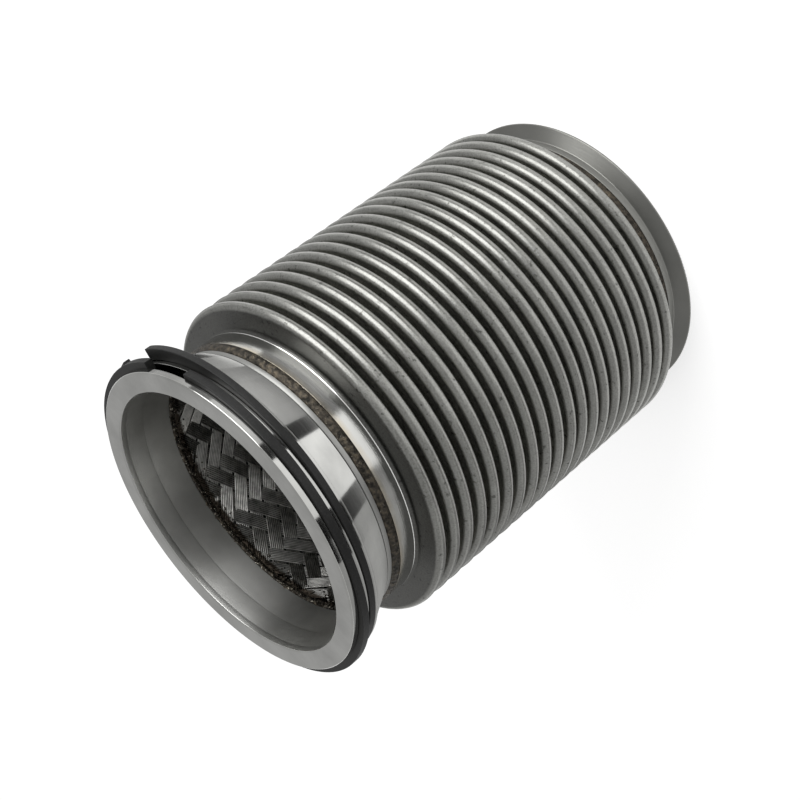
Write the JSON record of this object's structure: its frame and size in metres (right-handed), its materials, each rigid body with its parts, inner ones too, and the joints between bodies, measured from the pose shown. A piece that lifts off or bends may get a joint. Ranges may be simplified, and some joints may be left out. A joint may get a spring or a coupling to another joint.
{
  "type": "exhaust flex pipe",
  "caption": "Corrugated metal bellows with a woven inner liner, a turned inlet collar with split seal rings in its grooves and a flared outlet flange.",
  "frame": {"origin": "centre of the outlet flange's flat face, which the pipe stands on", "axes": "+Z along the pipe's axis towards the inlet collar; +X towards the open ends of the rear seal ring, -Y the side that the picture shows"},
  "size_m": [0.1418, 0.1407, 0.204],
  "materials": {
    "turned_steel": "fine turned, satin to bright",
    "bellows_steel": "formed sheet, satin",
    "ring_iron": "dark phosphated, matt",
    "weld_steel": "rippled, heat tinted brown",
    "liner_wire": "drawn wire, bright"
  },
  "bodies": {
    "outlet_end": {"outlet_flange": "bellows_steel", "rear_weld": "weld_steel", "rear_cuff": "turned_steel", "rear_liner_weld": "weld_steel", "bellows": "bellows_steel", "braid_liner": "liner_wire"},
    "inlet_end": {"inlet_collar": "turned_steel", "front_seal_ring": "ring_iron", "rear_seal_ring": "ring_iron", "front_cuff": "turned_steel", "front_weld": "weld_steel", "front_liner_weld": "weld_steel"}
  },
  "joints": [
    {"name": "bellows_stroke", "type": "slide", "parent": "outlet_end", "child": "inlet_end", "axis": [0, 0, 1], "range_m": [-0.012, 0.006], "stiffness_N_per_m": 30000, "deforming": ["bellows", "braid_liner"]}
  ]
}
